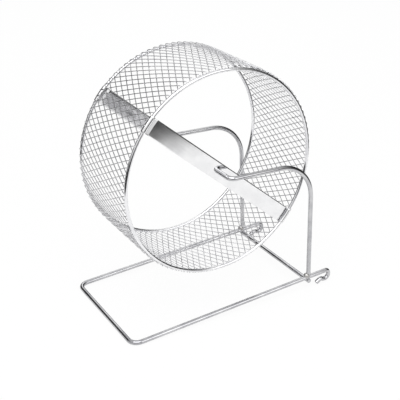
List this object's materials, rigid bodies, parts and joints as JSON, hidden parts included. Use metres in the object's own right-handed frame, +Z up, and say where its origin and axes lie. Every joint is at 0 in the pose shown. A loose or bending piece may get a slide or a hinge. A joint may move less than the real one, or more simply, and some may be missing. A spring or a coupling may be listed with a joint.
{
  "type": "rodent exercise wheel",
  "caption": "Wire exercise wheel for a small rodent: a mesh drum on flat crossbars that turns on the bent-in ends of a wire stand with hooks at the back.",
  "frame": {"origin": "centre of the base of the bounding box: on the surface that it stands on, midway between its two sides and midway along its length", "axes": "+X along the axle towards the near side, +Y from the front bar towards the hooks, +Z up"},
  "size_m": [0.1272, 0.2344, 0.2475],
  "materials": {
    "stand_wire": "polished chrome plating on steel wire",
    "hoop_wire": "bright plating on steel wire",
    "crossbar_strip": "polished flat strip",
    "mesh_wire": "bright plating on thin steel wire",
    "weld": "plated weld bead, slightly rough"
  },
  "bodies": {
    "stand": {"base_wire": "stand_wire", "cross_bar": "stand_wire", "near_upright": "stand_wire", "far_upright": "stand_wire", "near_foot_weld": "weld", "far_foot_weld": "weld"},
    "wheel": {"near_hoop": "hoop_wire", "far_hoop": "hoop_wire", "near_crossbar": "crossbar_strip", "far_crossbar": "crossbar_strip", "mesh_inner_wires": "mesh_wire", "mesh_outer_wires": "mesh_wire"}
  },
  "joints": [
    {"name": "wheel_spin", "type": "hinge", "parent": "stand", "child": "wheel", "pos_m": [0, -0.01151, 0.14583], "axis": [1, 0, 0], "continuous": true}
  ]
}
